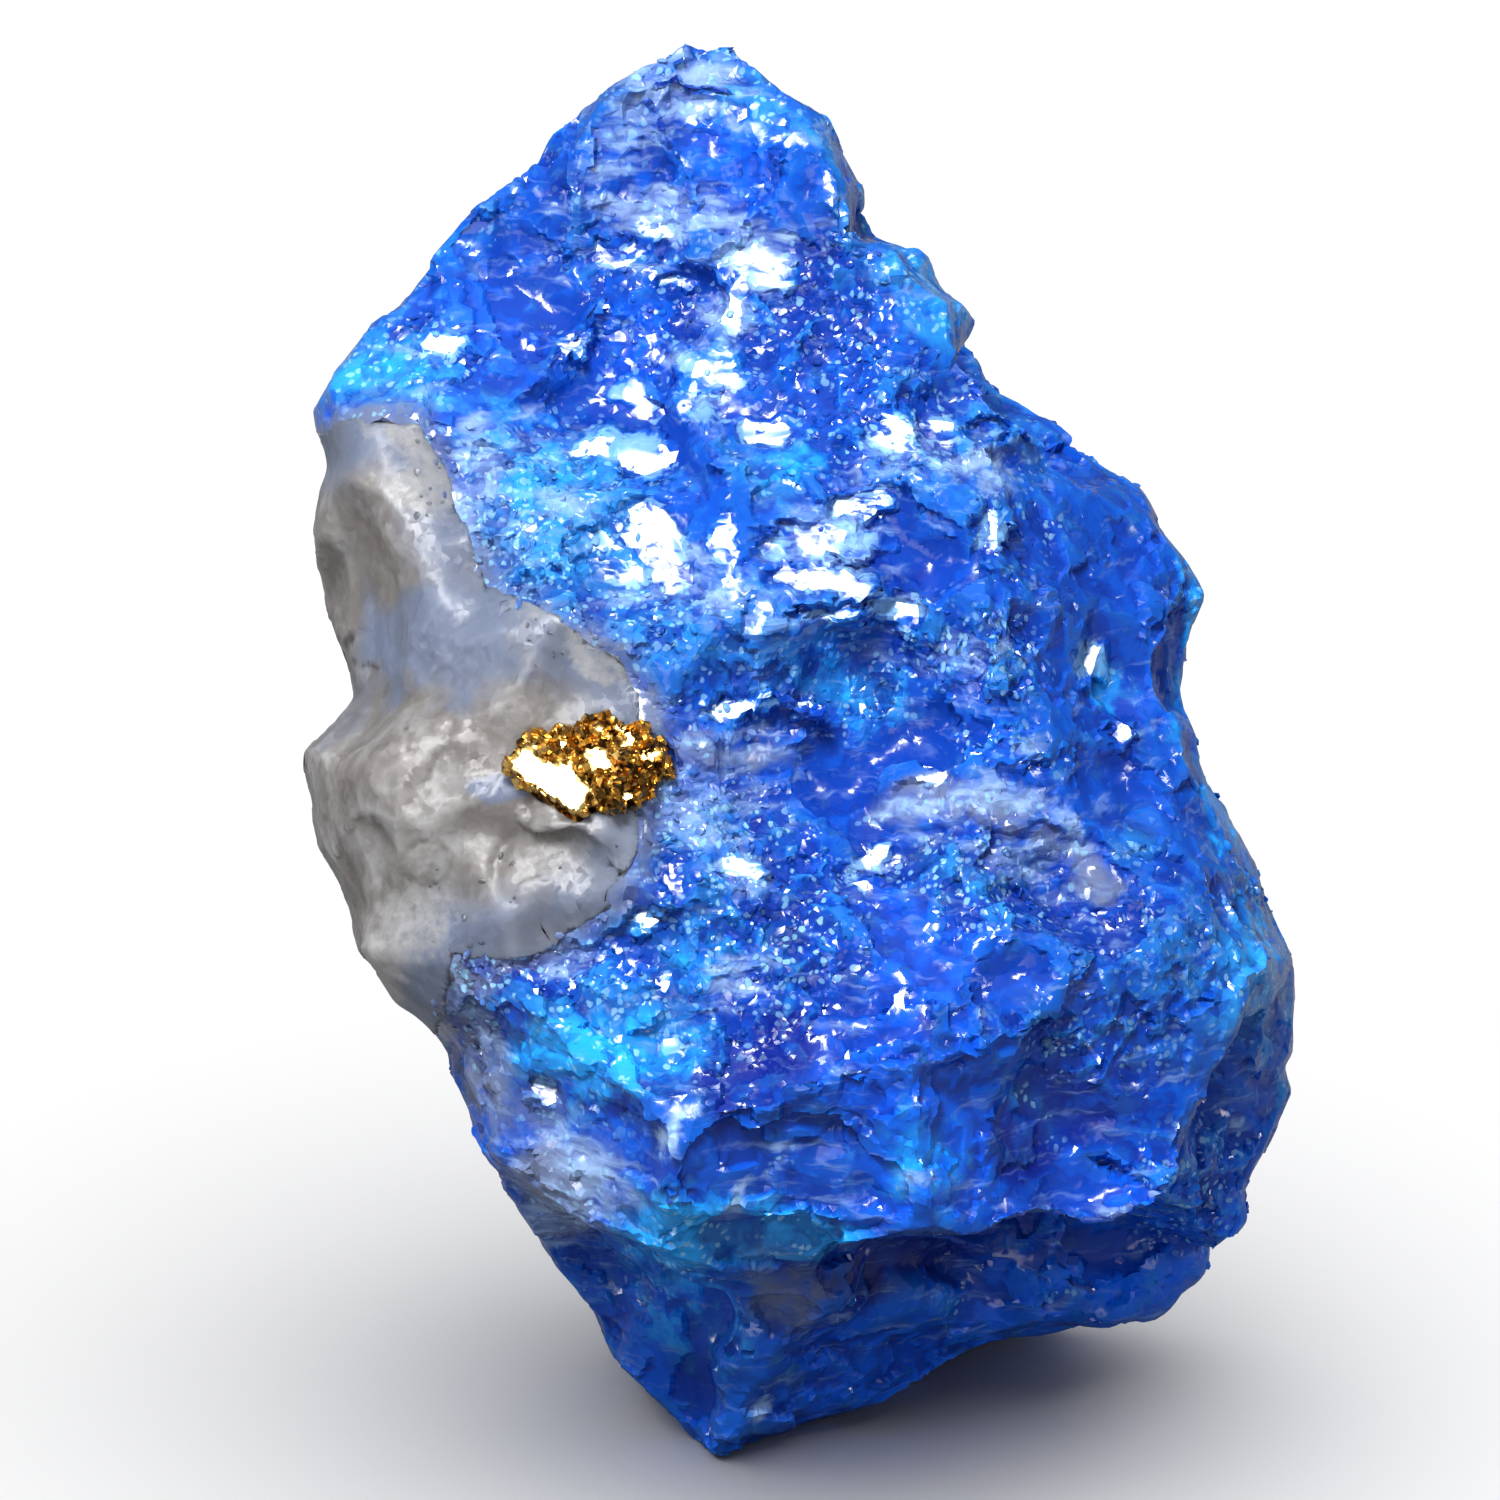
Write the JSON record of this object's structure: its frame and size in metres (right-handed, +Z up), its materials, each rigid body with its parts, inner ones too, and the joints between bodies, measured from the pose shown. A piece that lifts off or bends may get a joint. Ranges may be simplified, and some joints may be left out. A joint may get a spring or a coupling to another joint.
{
  "type": "rough hauyne",
  "caption": "Broken lump of translucent deep blue hauyne with a waxy grey-white calcite mass down one side and a cluster of gold pyrite crystals, resting on a small flat spot.",
  "frame": {"origin": "middle of the stone's bounding box, at the height of the flat spot that it stands on", "axes": "+Z up, from the flat spot to the pointed top; -Y towards the side with the pyrite, the front; +X to the right of the front"},
  "size_m": [0.0176, 0.016, 0.0235],
  "materials": {
    "hauyne": "translucent cobalt blue, glassy broken faces with frosted azure patches",
    "calcite": "waxy grey-white, slightly translucent",
    "pyrite": "bright brassy metallic crystal faces with dark edges"
  },
  "bodies": {
    "root": {"hauyne": "hauyne", "calcite": "calcite", "pyrite": "pyrite"}
  },
  "joints": []
}
